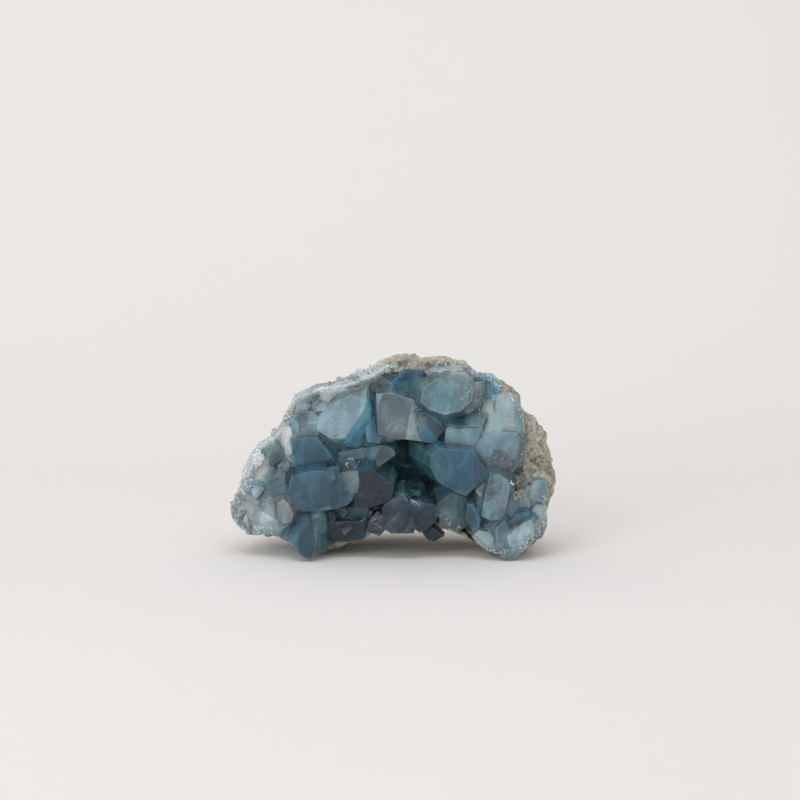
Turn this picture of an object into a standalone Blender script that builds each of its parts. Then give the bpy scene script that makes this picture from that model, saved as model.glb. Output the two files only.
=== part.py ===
"""A celestite geode: a broken bowl of rough limestone rind, lined with one crust of blue celestite crystals.

Metres, +Z up. The open side of the bowl faces -Y, and the origin is on the floor under the middle of the stone.
Run it with: blender --background --python part.py
"""

import math
import random
from itertools import combinations

import bmesh
import bpy
from mathutils import Vector, noise

MM = 0.001

# The stone. Every section is the outline below, swept back to a blunt end.
WIDEST_Y = 5.0  # the depth of the widest section, in mm
BACK_DEPTH = 27.0  # from there to the back of the stone
FRONT_DEPTH = 34.0  # from there to where the front would close, if it weren't broken away
CENTRE = (2.0, 27.0)  # x and z of the line that every section shrinks towards
GAP = 0.3  # clearance between the rind and the crust
COLUMNS = 72  # corners round each section
BACK_ROWS = 11
INNER_ROWS = 5
ROUND_BACK = (44.0, 30.0)  # the half width and half height that the sections tend to at the back
LUMP_SIZE = 13.0
LUMP_HEIGHT = 2.2
PIT_SIZE = 5.5
PIT_HEIGHT = 0.8

# The widest section, x and z in mm, from the right foot over the top to the left and back under the arch.
OUTLINE = [
    (41.0, -1.0), (46.5, 3.5), (49.8, 9.0), (50.8, 16.0), (52.3, 24.0), (51.6, 32.0), (49.6, 38.0),
    (46.5, 42.5), (43.0, 47.5), (39.5, 52.0), (34.5, 55.5), (28.5, 58.2), (25.5, 61.0), (20.5, 61.8),
    (16.0, 63.2), (9.5, 62.4), (5.0, 64.0), (0.0, 63.6), (-5.0, 60.3), (-12.0, 57.0), (-20.0, 54.2),
    (-28.0, 51.0), (-33.5, 46.5), (-38.0, 39.5), (-44.0, 30.0), (-49.0, 22.0), (-52.3, 15.0),
    (-50.0, 9.0), (-44.0, 6.5), (-37.5, 5.0), (-33.0, 2.0), (-29.5, -1.2), (-25.0, -1.2), (-20.5, 1.2),
    (-12.0, 4.4), (-6.0, 6.2), (2.0, 8.0), (12.0, 8.0), (22.0, 6.6), (29.0, 3.0), (34.0, -1.2),
]  # fmt: skip

# At angles in degrees round CENTRE, where 0 is right and 90 is up: the depth of the rind's broken edge, in mm,
# and how thick the rind is there.
RIM_DEPTH = {0: -6, 27: -6, 50: -2, 62: -4, 90: -5, 104: 2, 118: 9, 163: 9, 192: 6, 220: -7, 270: -3, 324: -9}
THICKNESS = {0: 8.0, 27: 5.0, 41: 3.0, 62: 3.5, 90: 4.0, 141: 3.5, 192: 3.5, 220: 4.5, 270: 4.0, 324: 5.0, 347: 8.0}

# The hollow in the crust: its middle and its half size in x and z where it opens, and how far back it goes.
CRUST_FRONT_Y = -4.0
HOLLOW_CENTRE = (6.0, 29.0)
HOLLOW_SIZE = (19.0, 14.5)
HOLLOW_BACK_Y = 19.0
CRYSTAL_FLOOR = 0.2  # no crystal reaches lower than this

# The crystals that are seen from the front. Each row is the depth of the middle of its face, where the face
# looks (degrees to the right, degrees up), how far the body leans in x and z for each 10 mm it runs back, how
# many degrees it widens, and its thickness. Then the corners of the face, x and z in mm, as they line up from
# EYE with a sheet that stands at SHEET_Y.
EYE = (2.6, -714.6, 137.3)
SHEET_Y = -8.0
CRYSTALS = [
    # upper left
    (-14.0, (-16, 24), (4, -4), 4, 15, [
        (-23.5, 45.5), (-20, 49), (-13, 52.5), (-8.2, 54), (-8.3, 50), (-9.2, 47), (-15.3, 38.3),
        (-19.5, 38), (-24.2, 41)]),
    (-12.0, (-12, 4), (0, 0), 6, 12, [
        (-32.2, 44), (-31, 47), (-25.2, 46.8), (-22, 43), (-24, 38.6), (-28, 37.3), (-32.2, 38.5)]),
    (-9.0, (-10, 34), (0, 0), 6, 10, [
        (-32, 47), (-31, 49.7), (-24, 53), (-16, 54), (-12, 53.6), (-20, 47.5), (-26, 46.3)]),
    (-11.5, (-14, 8), (0, 0), 8, 9, [
        (-35.6, 37), (-34.5, 42.5), (-32.5, 42), (-31.5, 36), (-32, 33), (-34, 32), (-35.5, 33.5)]),
    (-8.0, (-4, 20), (0, 0), 6, 9, [(-8.3, 55.5), (-4, 58.6), (0.3, 56), (-2, 53), (-7, 53)]),
    (-9.0, (10, 6), (0, -2), 6, 12, [(-9, 46), (-8, 54.5), (-2, 54.5), (-1, 46), (-4, 36.5), (-8, 37)]),
    # top
    (-7.5, (6, 14), (0, 0), 8, 12, [
        (0, 56.5), (4, 60.7), (10.5, 59.8), (12.3, 57), (9.5, 50), (3, 49), (-1.5, 52.5)]),
    (-11.5, (2, -6), (0, 2), 3, 16, [
        (-5, 52.5), (0, 53), (9, 50), (16.5, 45.3), (18, 43), (13.5, 36.7), (0, 38.4), (-4.5, 39.5)]),
    (-12.0, (16, -8), (0, 2), 3, 14, [
        (7.5, 46.5), (12, 47.3), (16.7, 45.4), (18.2, 43), (13.6, 36.6), (9.5, 37.2)]),
    (-9.5, (-6, 38), (0, 0), 8, 9, [(10.7, 59.5), (13.5, 60.9), (17, 61), (19.5, 59), (17, 57), (12, 57.5)]),
    (-8.5, (4, 32), (0, 0), 8, 10, [(16, 61), (20, 61.8), (24.3, 61), (26, 58.5), (25, 55), (18, 56)]),
    (-17.0, (-8, 8), (1, -1), 6, 12, [
        (9.2, 50), (9.8, 54), (14, 57.3), (20, 58.8), (25, 57.2), (26.3, 54), (25.5, 50), (22, 47),
        (17, 45.8), (12, 47.5)]),
    (-9.0, (10, 10), (0, 0), 5, 11, [(25.3, 58), (32, 58.3), (34.4, 56.3), (34.5, 52), (30, 50), (25, 50)]),
    # right
    (-12.5, (6, 40), (0, 0), 6, 11, [(17.5, 42.5), (23.2, 48), (28, 47.6), (30.7, 45.6), (28.8, 42), (22, 42)]),
    (-12.0, (-2, -8), (0, 0), 6, 13, [
        (17.2, 40.5), (18.3, 43.3), (22.5, 44), (28, 43.5), (29.2, 41.5), (26, 34), (21, 32), (17, 36)]),
    (-9.5, (5, 6), (0, 0), 6, 12, [
        (28, 40), (29.3, 50), (31, 52), (35, 52.6), (39.3, 51.3), (42.3, 46.5), (42.8, 40), (41, 36), (31, 36)]),
    (-11.0, (2, -3), (0, 0), 8, 13, [
        (26.2, 33.3), (27.7, 38), (33, 40.5), (40, 40), (43, 36), (41.5, 30), (38, 26.3), (31.5, 26.5),
        (27.5, 31)]),
    (-14.0, (4, -7), (-4, 2), 5, 15, [
        (12.6, 28.5), (12.8, 32.5), (15, 34.8), (25.8, 34.2), (31.2, 26), (23.7, 19.4), (20.5, 20.8),
        (15, 23.8)]),
    (-16.0, (-6, 5), (0, 0), 16, 15, [
        (29, 12.8), (29.7, 19), (31.5, 26), (34.5, 26), (37, 24.3), (38.3, 20.5), (36.6, 15), (36, 11.8),
        (32, 11.3)]),
    (-14.0, (34, 6), (0, 0), 6, 12, [
        (36, 22), (38, 23), (40.5, 19), (40.7, 14), (37.5, 11.5), (36, 15)]),
    (-14.0, (-24, 0), (0, 0), 6, 10, [(24, 12), (24.3, 17), (26.2, 16.7), (28.6, 12), (27.8, 7.5), (26, 8)]),
    (-12.0, (6, 12), (0, 0), 8, 11, [(14.8, 17), (19, 20.5), (24, 19), (26, 12), (21.5, 7.5), (15.5, 10.5)]),
    # right foot
    (-16.0, (6, 22), (0, 0), 4, 12, [(36.5, 8), (39.5, 13.2), (44.5, 13.7), (44, 10), (40, 7)]),
    (-18.4, (8, 12), (2, 1), 4, 13, [(37, 6), (38.5, 7.7), (43, 11), (45, 11.8), (46, 6.5), (41.5, 3), (38, 3)]),
    (-18.5, (-6, -2), (0, 1), 8, 14, [(33.5, 9), (36.3, 11.7), (38.8, 7), (38.7, -1), (35.5, -0.4), (33.6, 3)]),
    (-16.0, (-14, 4), (0, 1), 8, 12, [
        (25.7, 6.2), (28, 8.3), (31, 7.6), (35, 4.5), (35, 0.2), (31, 1.5), (27.5, 3.8)]),
    (-18.0, (4, -12), (0, 1), 6, 13, [(35, -0.5), (38, -1.8), (40, -1), (45.3, 4), (41, 6), (36, 4)]),
    (-12.0, (30, 4), (0, 1), 8, 10, [
        (44, 8), (44.5, 13), (47, 16.5), (49, 16.5), (50, 9.5), (48.4, 5.7), (45.3, 4.4)]),
    (-10.5, (24, 8), (0, 0), 8, 9, [(44.5, 18.5), (45.5, 24.3), (49.3, 24.5), (50.4, 20), (48.5, 17)]),
    (-10.5, (14, 10), (0, 0), 8, 9, [(38, 26), (42, 26), (45, 21), (44.5, 14), (40.5, 14.5), (38.5, 21)]),
    # under the hollow
    (-15.0, (-4, 8), (0, 1), 5, 13, [
        (-2.8, 16), (0, 18.2), (3.6, 19.8), (5.2, 17.5), (7.6, 8.8), (7, 7.2), (0, 7.0), (-3.2, 9)]),
    (-14.0, (10, 6), (0, 1), 5, 12, [
        (5, 15.5), (6, 17.3), (9, 17.4), (14.7, 16), (15.2, 13), (13, 10), (9, 7.3), (7.4, 8.6), (5.6, 13)]),
    (-13.5, (-14, 8), (0, 1), 8, 11, [(-8.2, 8), (-7, 12), (-4.5, 14.5), (-2.6, 12), (-2.4, 8), (-4, 6.2)]),
    (-10.0, (0, -24), (0, 2), 5, 9, [(9.3, 8), (12.8, 9.6), (16.8, 6.3), (13.7, 4.5), (11.3, 5.2)]),
    (-12.0, (2, -12), (0, 1), 6, 12, [
        (-21.5, 8), (-20, 11), (-9, 11), (-8, 8), (-9, 5.3), (-15, 4.4), (-21, 4.8)]),
    (-11.5, (0, -34), (0, 2), 6, 11, [(-22.5, 12), (-18, 15.6), (-8, 15.4), (-5.5, 12), (-8, 9.5), (-21.5, 9.5)]),
    # left of the hollow
    (-13.0, (-4, -12), (0, 0), 6, 13, [
        (-32, 37.8), (-24, 38.3), (-22, 36), (-18, 30.5), (-17.5, 27), (-24, 25), (-30, 26), (-32.3, 30)]),
    (-16.0, (-3, -6), (0, 2), 8, 15, [
        (-33, 22), (-32, 26), (-26, 27.5), (-17.5, 27.6), (-12, 20), (-14, 16.8), (-18, 15.3), (-25, 14.3),
        (-29.5, 14.5), (-32.8, 18.5)]),
    (-14.5, (8, -8), (0, 2), 5, 15, [
        (-12, 17), (-10.5, 27.2), (-8.5, 28.2), (-5.5, 27.7), (-0.8, 23.8), (0.4, 21.2), (-0.3, 18.2),
        (-5, 16.2), (-11, 15)]),
    (-16.8, (-6, 6), (0, 0), 8, 13, [
        (-16.6, 24), (-16.3, 27), (-11, 27.5), (-10.5, 24), (-11.2, 20.6), (-12.5, 20.3), (-15, 21.5)]),
    (-10.0, (0, 18), (0, 0), 5, 13, [
        (-18.5, 30), (-18, 34), (-10, 35), (-4, 36.2), (0.6, 34.7), (1.1, 32.8), (-5, 28.3), (-10, 26),
        (-17, 26)]),
    # left end
    (-12.0, (-16, 10), (0, 0), 6, 10, [
        (-41.5, 35), (-38.7, 36.6), (-36, 35.6), (-33, 30), (-33.2, 28.2), (-35, 27.3), (-38.5, 31)]),
    (-7.5, (-26, 10), (0, 0), 8, 9, [(-45, 30.5), (-42, 34.5), (-40.5, 34.8), (-38.5, 31), (-40, 28), (-43.5, 26.5)]),
    (-11.5, (-6, -6), (0, 0), 8, 10, [(-38.5, 31), (-35.5, 33.8), (-31, 31), (-31, 26), (-34, 24), (-38.3, 25.5)]),
    (-10.0, (-16, 14), (0, 0), 8, 9, [(-43.5, 27), (-41, 30), (-37.7, 28.7), (-37, 25.5), (-40, 24), (-44.3, 24.5)]),
    (-5.5, (-36, 10), (0, 0), 8, 9, [(-47.8, 25), (-45, 30), (-42.5, 28), (-43, 23), (-46.5, 22)]),
    (-11.0, (-12, 6), (1, 0), 6, 15, [
        (-46.3, 22), (-45, 24.6), (-40, 25.3), (-33.2, 24.5), (-32, 20.5), (-36, 18.5), (-42, 18.5), (-45.5, 20)]),
    (-5.0, (-38, 8), (2, 0), 8, 10, [
        (-52.3, 15.5), (-50.5, 20), (-47.3, 23.5), (-44, 21), (-43, 15), (-44, 9), (-48.5, 8.2), (-51, 11)]),
    (-11.5, (-14, 6), (0, 0), 6, 11, [
        (-45.5, 19), (-43, 21), (-36.5, 20.5), (-32, 17), (-34, 11), (-42, 11), (-45, 14)]),
    (-9.0, (-18, -10), (0, 1), 6, 9, [(-48.7, 10), (-46.7, 14), (-43.5, 14), (-41, 11), (-42.5, 6.6), (-47, 6.8)]),
    (-11.0, (-4, -12), (0, 1), 6, 10, [(-43.3, 12), (-37, 12.6), (-33, 11), (-34, 6.5), (-38, 6.6), (-42.8, 6.8)]),
    (-15.5, (-10, 0), (0, 0), 12, 9, [
        (-36.8, 17.2), (-35, 18.3), (-33.3, 16.6), (-31.8, 13), (-32.5, 11), (-34.5, 10.3), (-36.8, 12)]),
    # the crystal that hangs down to the floor
    (-19.5, (-12, 0), (4, 1.5), 2, 14, [
        (-33.6, 9.8), (-28, 10.4), (-25.2, 13.8), (-24.6, 8), (-24.9, 1), (-26, -0.8), (-28, -1.1),
        (-30.2, 0.7), (-33, 5)]),
    (-13.0, (0, 0), (0, 0), 6, 10, [(-33, 10), (-31.5, 15), (-24, 15), (-21, 12), (-22, 4), (-29, 3), (-34, 7)]),
]  # fmt: skip

# Smaller crystals line the wall of the hollow in rings. Each is a plate with a wedge at both ends.
RINGS = 3
RING_CRYSTALS = 14
EDGE_CRYSTALS = 46  # still smaller ones on the outside of the crust, where no rind covers it
WEDGE_ANGLE = 52.0  # the half angle of the wedge, in degrees
EDGE_SLOPE = 45.0
SEED = 7


def clear_scene():
    for obj in list(bpy.data.objects):
        bpy.data.objects.remove(obj)


def material(name, colour, roughness, transmission=0.0):
    made = bpy.data.materials.new(name)
    made.use_nodes = True
    shader = made.node_tree.nodes["Principled BSDF"]
    shader.inputs["Base Color"].default_value = (*colour, 1.0)
    shader.inputs["Roughness"].default_value = roughness
    shader.inputs["Metallic"].default_value = 0.0
    shader.inputs["Transmission Weight"].default_value = transmission
    return made


def object_from(name, mesh_builder, made_of=None, helper=False):
    mesh = bpy.data.meshes.new(name)
    bmesh.ops.recalc_face_normals(mesh_builder, faces=mesh_builder.faces)
    mesh_builder.to_mesh(mesh)
    mesh_builder.free()
    obj = bpy.data.objects.new(name, mesh)
    bpy.context.scene.collection.objects.link(obj)
    if made_of:
        mesh.materials.append(made_of)
    if helper:
        obj.hide_render = True
        obj.display_type = "WIRE"
    return obj


def outline_point(share):
    """The point this share of the way round the outline, on straight runs between its corners."""
    ends = list(zip(OUTLINE, OUTLINE[1:] + OUTLINE[:1]))
    lengths = [math.dist(a, b) for a, b in ends]
    along = (share % 1.0) * sum(lengths)
    for (a, b), length in zip(ends, lengths):
        if along <= length:
            return Vector(a).lerp(Vector(b), along / length)
        along -= length
    return Vector(OUTLINE[0])


def at_angle(stops, point):
    """The value beside this point of the outline, between the stops it has at angles round CENTRE."""
    angle = math.degrees(math.atan2(point.y - CENTRE[1], point.x - CENTRE[0])) % 360
    stops = [*stops.items(), (360, stops[0])]
    for (low, here), (high, there) in zip(stops, stops[1:]):
        if low <= angle <= high:
            return here + (there - here) * (angle - low) / (high - low)
    return stops[0][1]


def lump(place):
    """How far the rough outside stands in or out at this place, in mm."""
    large = noise.noise(place / LUMP_SIZE) * LUMP_HEIGHT
    small = noise.noise(place / PIT_SIZE) * PIT_HEIGHT
    return large + small


def section_point(corner, depth, inset, lumpy=False):
    """The corner of the outline carried to this depth and moved inwards, as a point in mm."""
    reach = (BACK_DEPTH if depth > WIDEST_Y else FRONT_DEPTH) - inset
    behind = min(1.0, abs(depth - WIDEST_Y) / reach)
    size = (1.0 - behind**2.4) ** (1 / 2.4)
    arm = corner - Vector(CENTRE)
    if depth > WIDEST_Y:
        arm = arm.lerp(arm.normalized() * Vector(ROUND_BACK), behind**2)
    shrink = max(0.0, 1.0 - inset / arm.length)
    height = size if arm.y > 0 else math.sqrt(size)
    x = CENTRE[0] + arm.x * size * shrink
    z = CENTRE[1] + arm.y * height * shrink
    place = Vector((x, depth, z))
    if lumpy:
        outward = Vector((arm.x * size, (depth - WIDEST_Y) * 1.2, arm.y * size))
        place += outward.normalized() * lump(place)
    return place


def sweep(corners, front_depths, insets, rows, lumpy):
    """Rings of points from the front edge to the back of one surface, then the point that closes it."""
    rings = []
    for row in range(rows):
        turn = math.sin(math.radians(90 * row / rows))
        ring = []
        for corner, front, inset in zip(corners, front_depths, insets):
            depth = front + (WIDEST_Y + BACK_DEPTH - inset - front) * turn
            ring.append(section_point(corner, depth, inset, lumpy))
        rings.append(ring)
    return rings, Vector((CENTRE[0], WIDEST_Y + BACK_DEPTH - min(insets), CENTRE[1]))


def hollow_rings(corners, rows):
    """The wall of the hollow, from where it opens to its back, then the point that closes it."""
    middle = Vector(HOLLOW_CENTRE)
    rings = []
    for row in range(rows):
        turn = math.radians(90 * row / rows)
        depth = CRUST_FRONT_Y + (HOLLOW_BACK_Y - CRUST_FRONT_Y) * math.sin(turn)
        ring = []
        for corner in corners:
            out = (corner - Vector(CENTRE)).normalized() * math.cos(turn)
            x, z = middle.x + out.x * HOLLOW_SIZE[0], middle.y + out.y * HOLLOW_SIZE[1]
            ring.append(Vector((x, depth, z)))
        rings.append(ring)
    return rings, Vector((middle.x, HOLLOW_BACK_Y, middle.y))


def skin(rings, ends):
    """A closed surface over these rings, with its two ends closed to a point."""
    builder = bmesh.new()
    rings = [[builder.verts.new(place * MM) for place in ring] for ring in rings]
    ends = [builder.verts.new(end * MM) for end in ends]
    count = len(rings[0])
    for ring, following in zip(rings, rings[1:]):
        for i in range(count):
            j = (i + 1) % count
            builder.faces.new((ring[i], ring[j], following[j], following[i]))
    for i in range(count):
        j = (i + 1) % count
        builder.faces.new((rings[0][j], rings[0][i], ends[0]))
        builder.faces.new((rings[-1][i], rings[-1][j], ends[1]))
    bmesh.ops.recalc_face_normals(builder, faces=builder.faces)
    bmesh.ops.triangulate(builder, faces=builder.faces)
    return builder


def cut_at_floor(builder, height=0.0):
    """Takes off what lies under this height, in mm, and closes the cut flat."""
    everything = builder.verts[:] + builder.edges[:] + builder.faces[:]
    plane = {"plane_co": (0, 0, height * MM), "plane_no": (0, 0, -1)}
    cut = bmesh.ops.bisect_plane(builder, geom=everything, clear_outer=True, dist=1e-7, **plane)
    edges = [e for e in cut["geom_cut"] if isinstance(e, bmesh.types.BMEdge)]
    bmesh.ops.holes_fill(builder, edges=edges)
    bmesh.ops.triangulate(builder, faces=builder.faces)


def three_plane_corner(a, b, c):
    """Where three planes meet, each a normal and a distance, or None where they don't."""
    (n1, d1), (n2, d2), (n3, d3) = a, b, c
    share = n1.dot(n2.cross(n3))
    if abs(share) < 1e-6:
        return None
    return (n2.cross(n3) * d1 + n3.cross(n1) * d2 + n1.cross(n2) * d3) / share


def convex_solid(builder, planes):
    """Adds the solid inside these planes, with one flat face for each plane that touches it."""
    corners = []
    for three in combinations(range(len(planes)), 3):
        place = three_plane_corner(*(planes[i] for i in three))
        if place is None or any(n.dot(place) > d + 0.001 for n, d in planes):
            continue
        same = next((on for other, on in corners if (other - place).length < 0.02), None)
        if same:
            same.update(three)
        else:
            corners.append((place, set(three)))
    verts = [builder.verts.new(place * MM) for place, _ in corners]
    for index, (normal, _) in enumerate(planes):
        ring = [vert for vert, (_, on) in zip(verts, corners) if index in on]
        if len(ring) < 3:
            continue
        middle = sum((vert.co for vert in ring), Vector()) / len(ring)
        first = (ring[0].co - middle).normalized()
        second = normal.cross(first)
        ring.sort(key=lambda v: math.atan2((v.co - middle).dot(second), (v.co - middle).dot(first)))
        builder.faces.new(ring)


def facing_vector(facing):
    """The direction this many degrees to the right of and above straight out of the hollow."""
    right, up = (math.radians(angle) for angle in facing)
    return Vector((math.sin(right) * math.cos(up), -math.cos(right) * math.cos(up), math.sin(up)))


def sight_point(corner, middle, front):
    """Where the line from EYE past this corner of the sheet meets the face."""
    eye = Vector(EYE)
    ray = Vector((corner[0], SHEET_Y, corner[1])) - eye
    return eye + ray * ((middle - eye).dot(front) / ray.dot(front))


def seen_crystal(depth, facing, lean, widening, thickness, corners):
    """The planes of a crystal whose front face is seen as these corners."""
    front = facing_vector(facing)
    centre = sum((Vector(corner) for corner in corners), Vector((0, 0))) / len(corners)
    middle = sight_point(centre, Vector((0, depth, 0)), Vector((0, -1, 0)))
    points = [sight_point(corner, middle, front) for corner in corners]
    back = Vector((lean[0] / 10, 1.0, lean[1] / 10)).normalized()
    widen = math.radians(widening)
    planes = [(front, front.dot(middle)), (-front, thickness - front.dot(middle))]
    for first, second in zip(points, points[1:] + points[:1]):
        edge = (second - first).normalized()
        out = edge.cross(back).normalized()
        if out.dot(first - middle) < 0:
            out = -out
        towards = -(back - edge * back.dot(edge)).normalized()
        normal = out * math.cos(widen) + towards * math.sin(widen)
        planes.append((normal, normal.dot(first)))
    return planes


def plate_crystal(middle, facing, tip, width, length, thick, edge):
    """The planes of one plate: its front and back, two sides, a wedge at each end, and sloping edges."""
    turn, wedge, slope = (math.radians(angle) for angle in (tip, WEDGE_ANGLE, EDGE_SLOPE))
    front = facing_vector(facing)
    across = Vector((-front.y, front.x, 0)).normalized()
    above = front.cross(across)
    along = across * math.cos(turn) + above * math.sin(turn)
    side = along.cross(front)
    rim = [(side, width / 2), (-side, width / 2)]
    end = length / 2 * math.sin(wedge)
    for out in (1, -1):
        for hand in (1, -1):
            rim.append((along * math.sin(wedge) * out + side * math.cos(wedge) * hand, end))
    planes = [(front, 0.0), (-front, thick)] + rim
    for normal, distance in rim:
        tilted = normal * math.cos(slope) + front * math.sin(slope)
        planes.append((tilted, (distance - edge) * math.cos(slope)))
    return [(normal, distance + normal.dot(middle)) for normal, distance in planes]


def hollow_crystals(corners):
    """Small crystals round the wall of the hollow, each standing out from it towards the front."""
    chance = random.Random(SEED)
    every = len(corners) // RING_CRYSTALS
    rings, _ = hollow_rings(corners, RINGS + 1)
    crystals = []
    for row, ring in enumerate(rings[:RINGS]):
        for place in ring[row::every]:
            width = chance.uniform(5.0, 7.5)
            inward = Vector((HOLLOW_CENTRE[0] - place.x, -14.0, HOLLOW_CENTRE[1] - place.z)).normalized()
            facing = (
                math.degrees(math.atan2(inward.x, -inward.y)) + chance.uniform(-25, 25),
                math.degrees(math.asin(inward.z)) + chance.uniform(-20, 20),
            )
            middle = place + inward * chance.uniform(0.5, 1.8)
            tip = chance.uniform(0, 360)
            crystals.append(plate_crystal(middle, facing, tip, width, width * 1.3, 7.0, width * 0.16))
    return crystals


def edge_crystals(corners, rims):
    """Little crystals on the outside of the crust, where it reaches further forward than the rind."""
    chance = random.Random(SEED + 1)
    bare = [(corner, rim) for corner, rim in zip(corners, rims) if rim > 0]
    crystals = []
    for _ in range(EDGE_CRYSTALS):
        corner, rim = chance.choice(bare)
        depth = chance.uniform(CRUST_FRONT_Y - 2, rim - 1)
        width = chance.uniform(2.4, 4.4)
        place = section_point(corner * chance.uniform(0.99, 1.01), depth, 0.8)
        outward = (corner - Vector(CENTRE)).normalized()
        facing = (
            math.degrees(math.asin(outward.x)) + chance.uniform(-40, 40),
            math.degrees(math.asin(outward.y)) + chance.uniform(-25, 25),
        )
        tip = chance.uniform(0, 360)
        crystals.append(plate_crystal(place, facing, tip, width, width * 1.3, 6.0, width * 0.16))
    return crystals


def boolean(obj, other, operation):
    cut = obj.modifiers.new(operation.title(), "BOOLEAN")
    cut.operation = operation
    if isinstance(other, bpy.types.Collection):
        cut.operand_type = "COLLECTION"
        cut.collection = other
    else:
        cut.object = other
    return cut


def connected_to(start):
    """Every corner that can be reached from this one along edges."""
    found, waiting = {start}, [start]
    while waiting:
        for edge in waiting.pop().link_edges:
            for vert in edge.verts:
                if vert not in found:
                    found.add(vert)
                    waiting.append(vert)
    return found


def settle(obj):
    """Makes the Booleans permanent, and drops the tiny pockets they leave sealed between crystals."""
    graph = bpy.context.evaluated_depsgraph_get()
    solid = bpy.data.meshes.new_from_object(obj.evaluated_get(graph))
    builder = bmesh.new()
    builder.from_mesh(solid)
    outermost = min(builder.verts, key=lambda vert: vert.co.x)
    outside = connected_to(outermost)
    pockets = [vert for vert in builder.verts if vert not in outside]
    bmesh.ops.delete(builder, geom=pockets, context="VERTS")
    builder.to_mesh(obj.data)
    builder.free()
    obj.modifiers.clear()
    bpy.data.meshes.remove(solid)


def make_rind(stone, corners, rims, walls):
    """The rough limestone bowl, cut flat where it stands on the floor."""
    none = [0.0] * len(corners)
    outside, outside_end = sweep(corners, rims, none, BACK_ROWS, True)
    inside, inside_end = sweep(corners, rims, walls, INNER_ROWS, False)
    builder = skin([*reversed(inside), *outside], [inside_end, outside_end])
    cut_at_floor(builder)
    return object_from("limestone_rind", builder, stone)


def make_rind_space(corners, rims, walls):
    """The room the rind takes up, a little larger than the rind and carried on outwards past it."""
    none = [0.0] * len(corners)
    beyond = [-12.0] * len(corners)
    rim, _ = sweep(corners, rims, none, 1, True)
    outside, outside_end = sweep(corners, rims, beyond, 4, False)
    inside, inside_end = sweep(corners, rims, walls, INNER_ROWS, False)
    builder = skin([*reversed(inside), *rim, *outside], [inside_end, outside_end])
    builder.normal_update()
    moves = [vert.normal * min(1.5, vert.calc_shell_factor()) * GAP * MM for vert in builder.verts]
    for vert, move in zip(builder.verts, moves):
        vert.co += move
    return object_from("rind_space", builder, helper=True)


def make_crust(celestite, corners, rims, walls):
    """One closed crust: massive celestite with every crystal joined to it, clear of the rind."""
    coarse = corners[::2]
    front = [CRUST_FRONT_Y] * len(coarse)
    outside, outside_end = sweep(coarse, front, [0.5] * len(coarse), 7, True)
    hollow, hollow_end = hollow_rings(coarse, 5)
    base = skin([*reversed(hollow), *outside], [hollow_end, outside_end])
    cut_at_floor(base, CRYSTAL_FLOOR)
    crust = object_from("crystal_crust", base, celestite)

    floor = (Vector((0, 0, -1)), -CRYSTAL_FLOOR)
    grown = bpy.data.collections.new("crystals")
    solids = [seen_crystal(*row) for row in CRYSTALS]
    solids += hollow_crystals(corners) + edge_crystals(corners, rims)
    for number, planes in enumerate(solids):
        builder = bmesh.new()
        convex_solid(builder, [*planes, floor])
        one = object_from(f"crystal_{number:03d}", builder, celestite, helper=True)
        bpy.context.scene.collection.objects.unlink(one)
        grown.objects.link(one)
    space = make_rind_space(corners, rims, walls)
    boolean(crust, grown, "UNION")
    boolean(crust, space, "DIFFERENCE")
    settle(crust)
    for helper in [*grown.objects, space]:
        bpy.data.objects.remove(helper)
    return crust


def stand_on_origin(stones):
    """Moves the whole stone so that the origin is on the floor, under the middle of it."""
    verts = [vert for stone in stones for vert in stone.data.vertices]
    across = [vert.co.x for vert in verts]
    deep = [vert.co.y for vert in verts]
    middle = Vector((min(across) + max(across), min(deep) + max(deep), 0)) / 2
    for vert in verts:
        vert.co -= middle


def main():
    clear_scene()
    corners = [outline_point(i / COLUMNS) for i in range(COLUMNS)]
    rims = [at_angle(RIM_DEPTH, corner) for corner in corners]
    walls = [at_angle(THICKNESS, corner) for corner in corners]
    rind = make_rind(material("limestone", (0.55, 0.51, 0.42), 0.9), corners, rims, walls)
    crust = make_crust(material("celestite", (0.30, 0.42, 0.50), 0.25, 0.5), corners, rims, walls)
    stand_on_origin([rind, crust])


main()
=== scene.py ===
"""The celestite geode as photographed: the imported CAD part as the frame, with its surfaces grown in here."""

import math
import random

import bmesh
import bpy
import numpy as np
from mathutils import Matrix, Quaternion, Vector, noise
from mathutils.bvhtree import BVHTree
from mathutils.kdtree import KDTree


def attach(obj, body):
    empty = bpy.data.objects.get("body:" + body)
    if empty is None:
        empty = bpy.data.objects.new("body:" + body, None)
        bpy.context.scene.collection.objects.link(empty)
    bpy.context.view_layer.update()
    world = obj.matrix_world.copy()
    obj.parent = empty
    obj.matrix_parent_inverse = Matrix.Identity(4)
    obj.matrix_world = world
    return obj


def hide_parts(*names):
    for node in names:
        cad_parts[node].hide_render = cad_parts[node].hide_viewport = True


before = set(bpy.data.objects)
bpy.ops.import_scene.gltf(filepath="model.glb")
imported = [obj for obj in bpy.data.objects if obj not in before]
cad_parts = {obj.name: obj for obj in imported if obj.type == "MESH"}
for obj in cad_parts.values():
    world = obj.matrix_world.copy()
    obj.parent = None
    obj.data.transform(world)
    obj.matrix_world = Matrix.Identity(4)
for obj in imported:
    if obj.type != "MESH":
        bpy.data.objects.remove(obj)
MM = 0.001

# Where the photograph was taken from, and where the drawing of the part stands in the row frame.
SHIFT = Vector((0.273, 6.319, 0.0)) * MM
AIM = Vector((2.6, 0.0, 49.6)) * MM - SHIFT
ELEVATION = 7.0
DISTANCE = 0.72
SHEET_Y = -8.0

# The grid on which the valleys between the crystals are worked out, in mm, how steep their sides are, how
# far below the crystals' own edges they start, and how far they run down.
GRID_LEFT = 54.0
GRID_HIGH = 64.0
VALLEY_SLOPE = 1.9
VALLEY_DROP = 0.45
VALLEY_REACH = 7.0

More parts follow.
